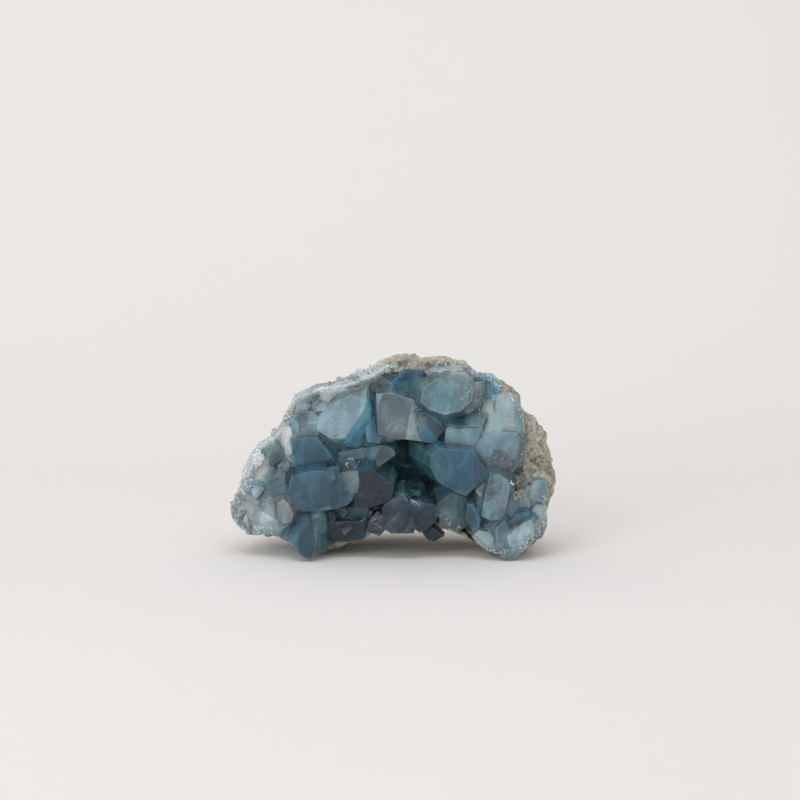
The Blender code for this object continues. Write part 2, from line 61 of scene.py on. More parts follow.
# How far inside the outline they stay, in mm, and the bend from which an edge in them is sharp.
VALLEY_MARGIN = 1.5
VALLEY_EDGE = math.radians(28)

# A y that is well in front of the stone, in mm.
BEFORE_STONE = -60.0

# The hollow's mouth is an ellipse that the valleys stay out of: its middle and half its size, in mm.
MOUTH_MIDDLE = (6, 28.5)
MOUTH_REACH = (11.5, 9.5)

# How thick the clear skin over the crystals' cloudy inside is.
CLEAR_SKIN = 1.6 * MM

# How fine the crust is cut, in general and where it is broken, and the veil and the cracks from which it
# counts as milky and as rough.
FINE = 1.4 * MM
FINE_BROKEN = 0.75 * MM
BROKEN_FINE_FROM = 0.6
MILKY_FROM = 0.62
ROUGH_FROM = 0.5

# Facets that lean less than this against each other are one flat, and an edge that bends more is worn and gets
# a painted highlight.
SAME_FLAT = math.radians(0.8)
WORN_HIGHLIT_EDGE = math.radians(16)

# Crystals longer than this, in mm, keep apart from each other and stay inside the stone's outline.
LARGE_FROM = 2
KEEP_APART = 0.8

# A crystal this far from the stone's surface, in metres, isn't on it.
ON_STONE = 0.0002

# Colours, linear: the celestite's from the painted shade low in the hollow to the white of the rim, the
# greenish white of one leaf-like crystal, and the cream of grains of rock. The near black one is painted shade,
# not the crystals' own colour.
COLOURS = {
    "hollow": (0.260, 0.500, 0.570),
    # Painted shade: near black, for crystals that lie in shade low under the overhang.
    "deep_shade": (0.003, 0.054, 0.100),
    "slate": (0.078, 0.265, 0.380),
    "blue": (0.260, 0.540, 0.700),
    "lilac": (0.620, 0.740, 0.820),
    "teal": (0.175, 0.365, 0.425),
    "green": (0.098, 0.225, 0.255),
    "mid": (0.290, 0.455, 0.520),
    "pale": (0.590, 0.760, 0.820),
    "milky": (0.620, 0.720, 0.750),
    "white": (0.900, 0.970, 1.000),
    "leaf": (0.620, 0.690, 0.660),
    "cream": (0.560, 0.500, 0.370),
}

# The colour of each crystal: where its middle shows, x and z in mm on a sheet at SHEET_Y.
# Those given the near black of painted shade sit low in the hollow and under the overhang.
TINTS = [
    ("mid", (-16, 46)), ("mid", (-20, 42)), ("mid", (-11, 50)), ("blue", (-7, 44)), ("blue", (-12, 36)),
    ("mid", (-28, 42)), ("pale", (-23, 50.5)), ("milky", (-34, 37)), ("green", (-4, 56)),
    ("blue", (-5.5, 48)), ("slate", (5, 56)), ("slate", (2, 50)), ("pale", (4, 42)), ("slate", (13, 42)),
    ("lilac", (15, 59.5)), ("lilac", (21, 60)), ("teal", (14, 52)), ("pale", (23.5, 52)),
    ("teal", (18, 49)), ("blue", (30, 55)), ("green", (25, 46)), ("mid", (23, 39)), ("pale", (34, 47)),
    ("mid", (40, 46)), ("mid", (34, 34)), ("pale", (39, 32)), ("slate", (21, 28)), ("green", (11, 30)),
    ("mid", (33, 18)), ("mid", (39, 17)), ("slate", (27, 12)), ("green", (20, 14)), ("slate", (41, 10.5)),
    ("pale", (42, 7)), ("mid", (36, 5)), ("pale", (30, 4.5)), ("pale", (40, 1.5)), ("pale", (47, 11)),
    ("mid", (48, 21)), ("milky", (42, 21)), ("deep_shade", (2, 13)), ("deep_shade", (10, 13)), ("deep_shade", (-5, 11)),
    ("deep_shade", (13, 6.5)), ("deep_shade", (-14, 8)), ("green", (-15, 13)), ("slate", (-26, 32)),
    ("slate", (-23, 21)), ("deep_shade", (-6, 22)), ("mid", (-14, 24)), ("green", (-9, 31)), ("green", (-37, 33)),
    ("leaf", (-42, 31)), ("pale", (-35, 29)), ("pale", (-41, 27)), ("milky", (-45, 26)),
    ("teal", (-40, 22)), ("milky", (-48, 16)), ("pale", (-39, 16)), ("milky", (-45, 11)),
    ("pale", (-38, 10)), ("milky", (-34.5, 14)), ("slate", (-28.5, 6)), ("mid", (-23, 8)),
    ("deep_shade", (-28, 12)), ("pale", (-25, 53)), ("milky", (-35, 44)), ("milky", (-12, 56)),
    ("milky", (-4, 60)), ("hollow", (6, 34)), ("hollow", (8, 26)), ("hollow", (3, 22)),
    ("hollow", (12, 22)), ("milky", (-29, 49)), ("milky", (-18, 54.5)), ("white", (-48.5, 20)),
    ("white", (-50, 13)), ("milky", (-38, 40)), ("milky", (-43, 34)), ("deep_shade", (-18, 22)),
    ("slate", (-28, 27)), ("slate", (-8, 28)),
]  # fmt: skip

# Marks inside the crystals: from where to where, radius in mm, milky veil, cracks.
MARKS = [
    ((0, 42), (9, 43), 3.4, 0.60, 0.0), ((24, 49), (24.5, 56), 3.0, 0.60, 0.8),
    ((34, 34), (40, 30), 6.0, 0.42, 0.58), ((36, 44), (42, 40), 5.0, 0.40, 0.58),
    ((-40, 26), (-44, 20), 4.0, 0.3, 0.4), ((-14, 27), (-12, 23), 3.0, 0.4, 0.4),
    ((27, 6), (33, 3), 4.0, 0.45, 0.5), ((-22, 44), (-17, 41), 4.0, 0.35, 0.0),
    ((12, 52), (18, 55), 3.5, 0.2, 0.4), ((40, 8), (44, 4), 3.5, 0.5, 0.55),
    ((33, 20), (38, 14), 4.0, 0.35, 0.5), ((20, 56), (14, 57), 2.5, 0.4, 0.5),
    ((46, 22), (49, 18), 3.0, 0.5, 0.6), ((-34, 30), (-38, 36), 3.5, 0.4, 0.5),
    ((-50, 9), (-50, 20), 7.0, 0.9, 1.0), ((-50, 20), (-44, 31), 4.5, 0.9, 1.0),
    ((-44, 31), (-35, 45), 4.5, 0.9, 1.0), ((-35, 45), (-24, 54), 4.5, 0.9, 0.9),
    ((-24, 54), (-10, 58), 4.5, 0.9, 0.9), ((-10, 58), (0, 62), 4.0, 0.8, 0.8),
    ((-47, 10), (-36, 9), 3.5, 0.6, 0.6), ((-45, 14), (-41, 18), 4.0, 0.4, 0.6),
    ((26, 2), (40, 0.5), 3.0, 0.5, 0.9), ((47, 4), (51, 16), 3.5, 0.5, 0.7),
    ((16, 14), (25, 6), 2.2, 0.6, 0.7), ((3, 20), (9, 16.5), 1.6, 0.6, 0.5),
    ((28, 58), (38, 52), 2.5, 0.4, 0.6), ((41, 48), (43, 30), 2.5, 0.5, 0.7),
]  # fmt: skip


def eye():
    angle = math.radians(ELEVATION)
    return AIM + Vector((0, -math.cos(angle), math.sin(angle))) * DISTANCE


def on_stone(trees, spot):
    """The point of the stone that shows at x and z, in mm, on the sheet, and the way its surface faces."""
    start = eye()
    sheet = Vector((spot[0], SHEET_Y, spot[1])) * MM - SHIFT
    ray = (sheet - start).normalized()
    hits = [tree.ray_cast(start, ray) for tree in trees]
    hits = [hit for hit in hits if hit[0] is not None]
    if not hits:
        return sheet, Vector((0, -1, 0))
    place, normal = min(hits, key=lambda hit: hit[3])[:2]
    return place, -normal if normal.dot(ray) > 0 else normal


def show(name, builder, made_of, node=None, slot=None):
    mesh = bpy.data.meshes.new(name)
    builder.to_mesh(mesh)
    builder.free()
    obj = bpy.data.objects.new(name, mesh)
    bpy.context.scene.collection.objects.link(obj)
    mesh.materials.append(made_of)
    if slot:
        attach(obj, "root")
    if node:
        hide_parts(node)
    return obj


class Nodes:
    """A material's node tree, with short ways to add nodes to it."""

    def __init__(self, name):
        self.material = bpy.data.materials.new(name)
        self.material.use_nodes = True
        self.tree = self.material.node_tree
        self.shader = self.tree.nodes["Principled BSDF"]
        self.output = self.tree.nodes["Material Output"]

    def add(self, kind, inputs=None, **settings):
        node = self.tree.nodes.new(kind)
        for key, value in settings.items():
            setattr(node, key, value)
        self.feed(node, inputs or {})
        return node

    def feed(self, node, inputs):
        for key, value in inputs.items():
            if isinstance(value, bpy.types.NodeSocket):
                self.tree.links.new(value, node.inputs[key])
            else:
                node.inputs[key].default_value = value

    def place(self):
        return self.add("ShaderNodeTexCoord").outputs["Object"]

    def leaning(self):
        """The place, turned and stretched, so that patterns read as slanting planes in the crystal."""
        inputs = {"Vector": self.place(), "Rotation": (0.5, 0.7, 0.3), "Scale": (1.0, 1.0, 0.45)}
        return self.add("ShaderNodeMapping", inputs).outputs["Vector"]

    def noise(self, scale, detail=3.0, roughness=0.5, distortion=0.0, at=None):
        inputs = {"Scale": scale, "Detail": detail, "Roughness": roughness, "Distortion": distortion}
        inputs["Vector"] = at or self.place()
        return self.add("ShaderNodeTexNoise", inputs).outputs["Fac"]

    def cells(self, scale, feature="F1", at=None):
        node = self.add("ShaderNodeTexVoronoi", {"Vector": at or self.place(), "Scale": scale}, feature=feature)
        return node.outputs["Distance"]

    def ramp(self, factor, *stops):
        node = self.add("ShaderNodeValToRGB", {"Fac": factor})
        points = node.color_ramp.elements
        for number, (where, colour) in enumerate(stops):
            point = points[number] if number < 2 else points.new(where)
            point.position = where
            value = colour if isinstance(colour, tuple) else (colour, colour, colour)
            point.color = (*value, 1.0)
        return node.outputs["Color"]

    def mix(self, factor, first, second, blend="MIX"):
        node = self.add("ShaderNodeMix", {0: factor}, data_type="RGBA", blend_type=blend)
        for index, value in ((6, first), (7, second)):
            if isinstance(value, tuple):
                node.inputs[index].default_value = (*value, 1.0)
            else:
                self.tree.links.new(value, node.inputs[index])
        return node.outputs[2]

    def math(self, operation, first, second=0.5):
        return self.add("ShaderNodeMath", {0: first, 1: second}, operation=operation).outputs[0]

    def attribute(self, name):
        return self.add("ShaderNodeAttribute", attribute_name=name).outputs["Color"]

    def split(self, colour):
        return self.add("ShaderNodeSeparateColor", {"Color": colour}).outputs

    def bump(self, height, distance, strength=1.0, normal=None):
        inputs = {"Height": height, "Distance": distance, "Strength": strength}
        if normal:
            inputs["Normal"] = normal
        return self.add("ShaderNodeBump", inputs).outputs["Normal"]


def celestite_material(name, clear, rough, milky_depth):
    """Clear blue crystal, clouded by veils and cracks, with pale edges that are partly wear and partly painted
    highlight.
    """
    n = Nodes(name)
    # The marks: how veiled, how cracked and, in mm up to 1, how far from a worn edge that gets a painted
    # highlight.
    marks = n.split(n.attribute("marks"))
    veiled, cracked = marks["Red"], marks["Green"]
    patchy = n.ramp(n.noise(110, 2), (0.42, 0.0), (0.66, 0.9))
    edge = n.math("MULTIPLY", n.ramp(marks["Blue"], (0.04, 1.0), (0.24, 0.0)), patchy)
    cloud = n.noise(150, 3, 0.55, 0.8)
    wisps = n.noise(380, 4, 0.65, 3.0)
    inputs = {"Vector": n.place(), "Scale": 260.0, "Detail": 2.0}
    bent = n.mix(0.012, n.place(), n.add("ShaderNodeTexNoise", inputs).outputs["Color"])
    cells = n.ramp(n.cells(240, "DISTANCE_TO_EDGE", bent), (0.0, 0.6), (0.07, 0.0))
    swirl = n.math("ABSOLUTE", n.math("SUBTRACT", n.noise(170, 3, 0.6, 2.2), 0.5))
    strokes = n.ramp(swirl, (0.0, 1.0), (0.035, 0.0))
    cracks = n.math("MAXIMUM", cells, strokes)
    specks = n.ramp(n.cells(700), (0.05, 1.0), (0.09, 0.0))
    dark = n.ramp(cloud, (0.30, 0.5), (0.60, 0.0))
    colour = n.mix(dark, n.attribute("tint"), (0.45, 0.64, 0.72), "MULTIPLY")
    colour = n.mix(n.ramp(cloud, (0.5, 0.0), (0.8, 0.3)), colour, (0.40, 0.56, 0.64))
    for scale, low, high in ((150, 0.60, 1.40), (380, 0.85, 1.15)):
        planes = n.add("ShaderNodeTexVoronoi", {"Vector": n.leaning(), "Scale": scale})
        tone = n.ramp(n.split(planes.outputs["Color"])["Red"], (0.1, low / 2), (0.9, high / 2))
        colour = n.mix(1.0, colour, n.mix(1.0, tone, (2.0, 2.0, 2.0), "MULTIPLY"), "MULTIPLY")
    veil = n.math("MULTIPLY", n.math("ADD", veiled, 0.05), n.ramp(wisps, (0.42, 0.0), (0.62, 1.0)))
    colour = n.mix(veil, colour, (0.68, 0.76, 0.78))
    crack = n.math("MULTIPLY", n.math("ADD", cracked, 0.02), cracks)
    colour = n.mix(n.math("MULTIPLY", crack, 0.75), colour, (0.80, 0.86, 0.88))
    colour = n.mix(n.math("MULTIPLY", specks, 0.5), colour, (0.80, 0.84, 0.84))
    # Painted highlight and wear: pale along the facets' standing edges.
    colour = n.mix(n.math("MULTIPLY", edge, 0.28), colour, (0.66, 0.76, 0.80))
    scatter = n.math("ADD", n.math("MULTIPLY", wisps, 0.2), rough - 0.10)
    normal = n.bump(cloud, 0.0012, 0.5)
    normal = n.bump(wisps, 0.0002, 0.5, normal)
    normal = n.bump(crack, 0.0006, 0.9, normal)
    n.feed(n.shader, {
        "Base Color": colour, "Roughness": scatter, "Metallic": 0.0, "IOR": 1.55,
        "Transmission Weight": clear, "Normal": normal})  # fmt: skip
    if milky_depth:
        n.feed(n.shader, {
            "Subsurface Weight": 1.0, "Subsurface Scale": milky_depth,
            "Subsurface Radius": (0.85, 0.95, 1.0)})  # fmt: skip
    water = n.add("ShaderNodeVolumeAbsorption", {"Color": (0.42, 0.66, 0.74, 1.0), "Density": 40.0})
    n.tree.links.new(water.outputs[0], n.output.inputs["Volume"])
    return n.material


def core_material():
    """The cloudy inside of the crystals, seen through their clear skin."""
    n = Nodes("cloudy celestite")
    wisps = n.noise(250, 4, 0.6, 2.0)
    cloud = n.noise(120, 3, 0.55, 0.8)
    colour = n.mix(1.0, n.attribute("tint"), (2.0, 1.6, 1.5), "MULTIPLY")
    planes = n.add("ShaderNodeTexVoronoi", {"Vector": n.leaning(), "Scale": 230.0}).outputs["Color"]
    lit = n.ramp(n.split(planes)["Red"], (0.5, 0.0), (0.9, 0.6))
    colour = n.mix(lit, colour, n.mix(1.0, colour, colour, "ADD"))
    colour = n.mix(n.ramp(wisps, (0.48, 0.0), (0.72, 0.35)), colour, (0.55, 0.70, 0.75))
    colour = n.mix(n.ramp(cloud, (0.35, 0.7), (0.55, 0.0)), colour, (0.02, 0.10, 0.15))
    normal = n.bump(wisps, 0.0005)
    n.feed(n.shader, {"Base Color": colour, "Roughness": 0.6, "Metallic": 0.0, "Normal": normal})
    return n.material


def limestone_material():
    """Pitted cream-grey rock, darker in its pits with painted shade, with the bluish white of the broken
    crystal layer on its left rim.
    """
    n = Nodes("limestone rock")
    pit_shade = n.attribute("pit_shade")
    patch = n.noise(95, 3, 0.6, 0.4)
    grain = n.noise(800, 4, 0.75)
    # Painted shade: small dark dots for tiny pits in shade.
    pits = n.ramp(n.cells(520), (0.14, 1.0), (0.34, 0.0))
    green, brown, cream = (0.30, 0.32, 0.25), (0.50, 0.47, 0.38), (0.64, 0.58, 0.47)
    colour = n.ramp(patch, (0.3, green), (0.5, brown), (0.7, cream))
    colour = n.mix(n.ramp(grain, (0.32, 0.8), (0.52, 0.0)), colour, (0.16, 0.15, 0.12))
    colour = n.mix(n.ramp(grain, (0.55, 0.0), (0.75, 0.7)), colour, (0.74, 0.72, 0.65))
    colour = n.mix(n.math("MULTIPLY", pits, 0.7), colour, (0.09, 0.085, 0.075))
    # Painted shade: darker where the rock is least open, in its pits.
    colour = n.mix(n.ramp(pit_shade, (0.1, 0.7), (0.45, 0.0)), colour, (0.13, 0.125, 0.10))
    rim = n.add("ShaderNodeAttribute", attribute_name="tint").outputs
    colour = n.mix(n.math("MULTIPLY", rim["Alpha"], 0.85), colour, rim["Color"])
    normal = n.bump(grain, 0.0005, 0.9)
    n.feed(n.shader, {"Base Color": colour, "Roughness": 0.85, "Metallic": 0.0, "Normal": normal})
    return n.material


def paper_material():
    n = Nodes("paper sheet")
    colour = n.ramp(n.noise(3, 2), (0.3, (0.82, 0.80, 0.79)), (0.7, (0.84, 0.815, 0.805)))
    n.feed(n.shader, {"Base Color": colour, "Roughness": 0.9, "Specular IOR Level": 0.2})
    return n.material


def copy_of(node):
    """A welded copy of a CAD node's mesh."""
    builder = bmesh.new()
    builder.from_mesh(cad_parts[node].data)
    bmesh.ops.remove_doubles(builder, verts=builder.verts, dist=1e-6)
    return builder


def tree_of(obj):
    return BVHTree.FromObject(obj, bpy.context.evaluated_depsgraph_get())


def subdivide(builder, longest, within):
    """Cuts triangles until none of their edges that lie within is longer than this."""
    bmesh.ops.triangulate(builder, faces=[face for face in builder.faces if len(face.verts) > 3])
    for _ in range(6):
        edges = [edge for edge in builder.edges if edge.calc_length() > longest and within(edge)]
        if not edges:
            break
        bmesh.ops.subdivide_edges(builder, edges=edges, cuts=1, use_grid_fill=False)
        bmesh.ops.triangulate(builder, faces=[face for face in builder.faces if len(face.verts) > 3])


def near_segment(point, start, end):
    along = end - start
    share = max(0.0, min(1.0, (point - start).dot(along) / max(along.length_squared, 1e-12)))
    return (point - start - along * share).length


def marks_at(point, marks):
    """How veiled and how cracked the crystal is here."""
    veil = crack = 0.0
    for start, end, radius, milky, cracked in marks:
        share = 1.0 - near_segment(point, start, end) / radius
        if share > 0:
            share = min(1.0, share * 1.8)
            veil = max(veil, milky * share)
            crack = max(crack, cracked * share)
    return veil, crack


def broken_here(vert, marks, known):
    """Whether a point lies well inside one of the marks."""
    if vert not in known:
        known[vert] = any(near_segment(vert.co, mark[0], mark[1]) < mark[2] * 0.7 for mark in marks)
    return known[vert]


def worn_highlit_edges(builder, facet):
    """A tree of points, 0.3 mm apart, along every edge that stands out between two facets."""
    spots = []
    for edge in builder.edges:
        faces = edge.link_faces
        if len(faces) == 2 and faces[0][facet] != faces[1][facet] and edge.is_convex:
            if edge.calc_face_angle(0) > WORN_HIGHLIT_EDGE:
                start, end = edge.verts[0].co, edge.verts[1].co
                steps = max(1, int(edge.calc_length() / (0.3 * MM)))
                spots += [start.lerp(end, i / steps) for i in range(steps + 1)]
    tree = KDTree(len(spots))
    for number, spot in enumerate(spots):
        tree.insert(spot, number)
    tree.balance()
    return tree


def broken_height(point):
    """The roughness of the broken crystal rim, in mm: small angular steps."""
    cell = noise.voronoi(point / (1.6 * MM))[0]
    return 0.45 * (cell[1] - cell[0]) - 0.35 * cell[0] + 0.25 * noise.noise(point / (0.8 * MM))


def build_crust(made_of, milky):
    """The crystals: the solid's flats are told apart, cut fine, coloured with painted light and shade, and
    roughened where broken.
    """
    random.seed(5)
    builder = copy_of("crystal_crust")
    builder.normal_update()
    bmesh.ops.dissolve_limit(builder, angle_limit=SAME_FLAT, verts=builder.verts, edges=builder.edges)
    facet = builder.faces.layers.int.new("facet")
    tree = tree_of(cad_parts["crystal_crust"])
    seeds = [(COLOURS[name], on_stone([tree], spot)[0]) for name, spot in TINTS]
    marks = [(on_stone([tree], a)[0], on_stone([tree], b)[0], r * MM, v, c) for a, b, r, v, c in MARKS]
    colours, slopes = {}, {}
    for number, face in enumerate(builder.faces, 1):
        face[facet] = number
        middle = face.calc_center_median()
        reach = max(0.5 * MM, max((vert.co - middle).length for vert in face.verts))
        way = Vector((random.gauss(0, 1), random.gauss(0, 1), random.gauss(0.5, 1))).normalized()
        slopes[number] = (middle, way, reach)
        colour = Vector(min(seeds, key=lambda seed: (seed[1] - middle).length_squared)[0])
        colours[number] = colour * random.uniform(0.85, 1.12)
    subdivide(builder, FINE, lambda edge: True)
    rough_marks = [mark for mark in marks if mark[4] > BROKEN_FINE_FROM]
    known = {}
    subdivide(builder, FINE_BROKEN, lambda edge: broken_here(edge.verts[0], rough_marks, known))
    worn_highlit = worn_highlit_edges(builder, facet)
    # A face with all its corners on worn, highlit edges gets a point in its middle, so that it isn't pale all
    # over with the painted highlight.
    narrow = [face for face in builder.faces if all(worn_highlit.find(vert.co)[2] < 0.02 * MM for vert in face.verts)]
    bmesh.ops.poke(builder, faces=narrow)
    tint = builder.loops.layers.float_color.new("tint")
    mark = builder.loops.layers.float_color.new("marks")
    at_vert = {vert: (*marks_at(vert.co, marks), worn_highlit.find(vert.co)[2] / MM) for vert in builder.verts}
    for face in builder.faces:
        middle, way, reach = slopes[face[facet]]
        for loop in face.loops:
            away = (loop.vert.co - middle).dot(way) / reach
            veil, broken, inside = at_vert[loop.vert]
            # Painted light and shade: each facet runs lighter along a random way that leans upward, with a
            # painted glow near its worn edges.
            shade = 1.0 + 0.36 * max(-1.0, min(1.0, away)) + 0.20 * math.exp(-inside / 0.9)
            loop[tint] = (*(colours[face[facet]] * shade), 1.0)
            loop[mark] = (veil, broken, min(1.0, inside), 1.0)
        face.material_index = int(min(at_vert[vert][0] for vert in face.verts) > MILKY_FROM)
    builder.normal_update()
    rough = [vert for vert in builder.verts if at_vert[vert][1] > ROUGH_FROM and vert.co.z > 1.2 * MM]
    moves = []
    for vert in rough:
        share = (at_vert[vert][1] - ROUGH_FROM) * 2
        moves.append((vert, vert.normal * broken_height(vert.co) * share * MM))
    for vert, move in moves:
        vert.co += move
    for edge in builder.edges:
        edge.smooth = len({face[facet] for face in edge.link_faces}) == 1
    for face in builder.faces:
        face.smooth = True
    crust = show("celestite", builder, made_of, "crystal_crust", "celestite")
    crust.data.materials.append(milky)
    return crust, seeds


def crystal_shapes(count, tips):
    """Small crystals, one unit long, as points and faces; tips is the range of how wide they end."""
    shapes = []
    for _ in range(count):
        sides = random.choice((4, 5, 6))
        tilt = random.uniform(-0.35, 0.35)
        builder = bmesh.new()
        for height, size in ((-0.35, 0.3), (0.5, 0.5), (1.0, random.uniform(*tips))):
            for side in range(sides):
                turn = (side + random.uniform(-0.2, 0.2)) * math.tau / sides
                wide = size * random.uniform(0.8, 1.15)
                up = height * (1 + tilt * math.cos(turn) * (height > 0.9))
                builder.verts.new((math.cos(turn) * wide * 1.2, math.sin(turn) * wide * 0.85, up))
        hull = bmesh.ops.convex_hull(builder, input=builder.verts)
        unused = hull["geom_interior"] + hull["geom_unused"]
        loose = {item for item in unused if isinstance(item, bmesh.types.BMVert)}
        bmesh.ops.delete(builder, geom=list(loose), context="VERTS")
        builder.verts.index_update()
        points = [vert.co.copy() for vert in builder.verts]
        shapes.append((points, [[vert.index for vert in face.verts] for face in builder.faces]))
        builder.free()
    return shapes


class Cluster:
    """Many small crystals gathered into one mesh, each face with its own shade."""

    def __init__(self, tips):
        self.shapes = crystal_shapes(24, tips)
        self.points, self.faces, self.tints, self.marks = [], [], [], []

    def add(self, place, way, size, colour):
        points, faces = random.choice(self.shapes)
        turn = way.to_track_quat("Z", "Y") @ Quaternion((0, 0, 1), random.uniform(0, math.tau))
        first = len(self.points)
        # None reaches below the floor.
        placed = [place + turn @ (point * size) for point in points]
        self.points += [Vector((point.x, point.y, max(point.z, 0.0))) for point in placed]
        veil = random.uniform(0, 0.4)
        for face in faces:
            self.faces.append([first + index for index in face])
            shade = random.uniform(0.8, 1.2)
            self.tints += [(*(Vector(colour) * shade), 1.0)] * len(face)
            self.marks += [(veil, 0.0, 1.0, 1.0)] * len(face)

    def show(self, name, made_of):
        mesh = bpy.data.meshes.new("gathered")
        mesh.from_pydata(self.points, [], self.faces)
        for key, values in (("tint", self.tints), ("marks", self.marks)):
            layer = mesh.color_attributes.new(key, "FLOAT_COLOR", "CORNER")
            layer.data.foreach_set("color", [number for value in values for number in value])
        builder = bmesh.new()
        builder.from_mesh(mesh)
        bpy.data.meshes.remove(mesh)
        return show(name, builder, made_of, None, "celestite")


def crystal_builder():
    """An empty mesh with the colour layers that the crystals' materials read."""
    builder = bmesh.new()
    names = ("tint", "marks")
    return builder, [builder.loops.layers.float_color.new(name) for name in names]


def depth_map(tree, step, columns, rows):
    """How far forward the crystals reach at each point of a grid seen straight from the front, in mm."""
    ahead = np.full((columns, rows), np.nan)
    for i in range(columns):
        for k in range(rows):
            start = Vector((i * step - GRID_LEFT, BEFORE_STONE, k * step)) * MM
            hit = tree.ray_cast(start, Vector((0, 1, 0)))[0]
            if hit is not None:
                ahead[i, k] = -hit.y / MM
    return ahead


def sloped_over(ahead, step, slope, reach):
    """The lowest surface over the depth map that is nowhere steeper than slope, and what its points hang on."""
    known = np.nan_to_num(ahead, nan=-1000.0)
    best = known.copy()
    source = np.indices(known.shape)
    origin = source.copy()
    cells = int(reach / step)
    for a in range(-cells, cells + 1):
        for b in range(-cells, cells + 1):
            moved = np.roll(known, (a, b), (0, 1)) - slope * step * math.hypot(a, b)
            better = moved > best
            best[better] = moved[better]
            origin[0][better] = (source[0] - a)[better]
            origin[1][better] = (source[1] - b)[better]
    return best, origin


def known_depth(ahead, i, k):
    value = ahead[i, k]
    return 0.0 if np.isnan(value) else value


def build_bed(made_of, tree, seeds):
    """Sloping sides for the crystals, so that neighbours meet in shallow valleys and not in deep gaps."""
    step = 0.5
    columns, rows = int(2 * GRID_LEFT / step), int(GRID_HIGH / step)
    ahead = depth_map(tree, step, columns, rows)
    filled, origin = sloped_over(ahead, step, VALLEY_SLOPE, VALLEY_REACH)
    x = np.arange(columns)[:, None] * step - GRID_LEFT + SHIFT.x / MM
    z = np.arange(rows)[None, :] * step
    mouth = ((x - MOUTH_MIDDLE[0]) / MOUTH_REACH[0]) ** 2 + ((z - MOUTH_MIDDLE[1]) / MOUTH_REACH[1]) ** 2
    gap = (filled - ahead > VALLEY_DROP) & (mouth > 1) & ~np.isnan(ahead)
    inner = ~np.isnan(ahead)
    for _ in range(int(VALLEY_MARGIN / step)):
        inner &= np.roll(inner, 1, 0) & np.roll(inner, -1, 0) & np.roll(inner, 1, 1) & np.roll(inner, -1, 1)
    gap &= inner
    builder, layers = crystal_builder()
    fronts, backs = {}, {}
    wanted = {
        (i, k) for i in range(1, columns - 1) for k in range(1, rows - 1)
        if inner[i:i + 2, k:k + 2].all() and gap[i:i + 2, k:k + 2].any()
    }  # fmt: skip
    corners = {(i + a, k + b) for i, k in wanted for a in (0, 1) for b in (0, 1)}
    colours = {}
    for i, k in sorted(corners):
        here = Vector((i * step - GRID_LEFT, 0, k * step))
        front = filled[i, k] - VALLEY_DROP if gap[i, k] else ahead[i, k] - 0.3
        fronts[i, k] = builder.verts.new((here - Vector((0, front, 0))) * MM)
        backs[i, k] = builder.verts.new((here - Vector((0, min(front - 0.4, ahead[i, k] - 1.0), 0))) * MM)
        a, b = origin[0][i, k], origin[1][i, k]
        root = Vector((a * step - GRID_LEFT, -known_depth(ahead, a, b), b * step)) * MM
        nearest = min(seeds, key=lambda seed: (seed[1] - root).length_squared)[0]
        tone = 0.92 + 0.1 * noise.noise(root / (5 * MM))
        colours[fronts[i, k]] = colours[backs[i, k]] = Vector(nearest) * tone
    rim = {}
    for i, k in wanted:
        ring = [(i, k), (i + 1, k), (i + 1, k + 1), (i, k + 1)]
        builder.faces.new([fronts[at] for at in ring])
        builder.faces.new([backs[at] for at in reversed(ring)])
        for start, end in zip(ring, ring[1:] + ring[:1]):
            if (end, start) in rim:
                del rim[end, start]
            else:
                rim[start, end] = True
    for start, end in rim:
        builder.faces.new((fronts[end], fronts[start], backs[start], backs[end]))
    for face in builder.faces:
        face.smooth = True
        for loop in face.loops:
            loop[layers[0]] = (*colours[loop.vert], 1.0)
            loop[layers[1]] = (0.1, 0.0, 1.0, 1.0)
    for edge in builder.edges:
        edge.smooth = len(edge.link_faces) != 2 or edge.calc_face_angle(0) < VALLEY_EDGE
    return show("valley_crystals", builder, made_of, None, "celestite")


# The upper left rim, from the left tip to the top, x and z in mm on the sheet.
LEFT_RIM = [(-47, 26), (-42, 36), (-36, 44), (-30, 50), (-22, 54), (-12, 57.5), (-3, 62)]

# Bands and clusters of tiny crystals: colour, path on the sheet, width, how many, smallest and largest, in mm.
CLUSTERS = [
    ("milky", LEFT_RIM, 3.0, 160, 0.3, 0.8),
    ("white", LEFT_RIM, 3.0, 240, 0.25, 0.5),
    ("milky", [(-51, 10), (-50, 20), (-46, 26)], 4.0, 160, 0.3, 0.7),
    ("pale", [(-50, 10), (-44, 9), (-38, 8)], 3.0, 70, 0.3, 0.7),
    # The short white clusters here and below are partly painted glints: white specks where light glints, as
    # well as small white crystals.
    ("white", [(-14.5, 28.5), (-12.5, 33.5)], 1.2, 7, 0.4, 0.8),
    ("white", [(-41, 16), (-39.5, 19)], 1.5, 7, 0.3, 0.7),
    ("milky", [(-10, 11), (-5, 16)], 0.8, 12, 0.25, 0.4),
    ("mid", [(3.5, 20), (9, 16.5)], 0.7, 24, 0.25, 0.5), ("white", [(38, 24), (41, 24)], 1.2, 9, 0.4, 0.8),
    ("milky", [(26, 2), (34, 1), (38, 2)], 1.8, 50, 0.3, 0.7),
    ("pale", [(41, 3), (47, 6), (50, 14), (50, 20)], 2.5, 70, 0.3, 0.8),
    ("pale", [(24, 62), (32, 57), (38, 52), (42, 45), (43, 36), (41.5, 26)], 1.4, 120, 0.3, 0.7),
    ("pale", [(-2, 61), (8, 61.5), (16, 62.5), (24, 62)], 1.2, 80, 0.3, 0.7),
    ("pale", [(22, 50), (26, 55)], 1.6, 10, 0.3, 0.6), ("leaf", [(28, 46), (31, 51)], 1.0, 10, 0.3, 0.6),
    ("cream", [(40, 18), (43, 25)], 2.6, 110, 0.3, 0.8), ("cream", [(17, 12), (25, 7)], 1.4, 40, 0.25, 0.5),
    ("cream", [(27, 53), (31, 49)], 1.0, 26, 0.25, 0.5),
    ("cream", [(-12, 28), (-10, 31)], 0.7, 8, 0.25, 0.4),
]  # fmt: skip


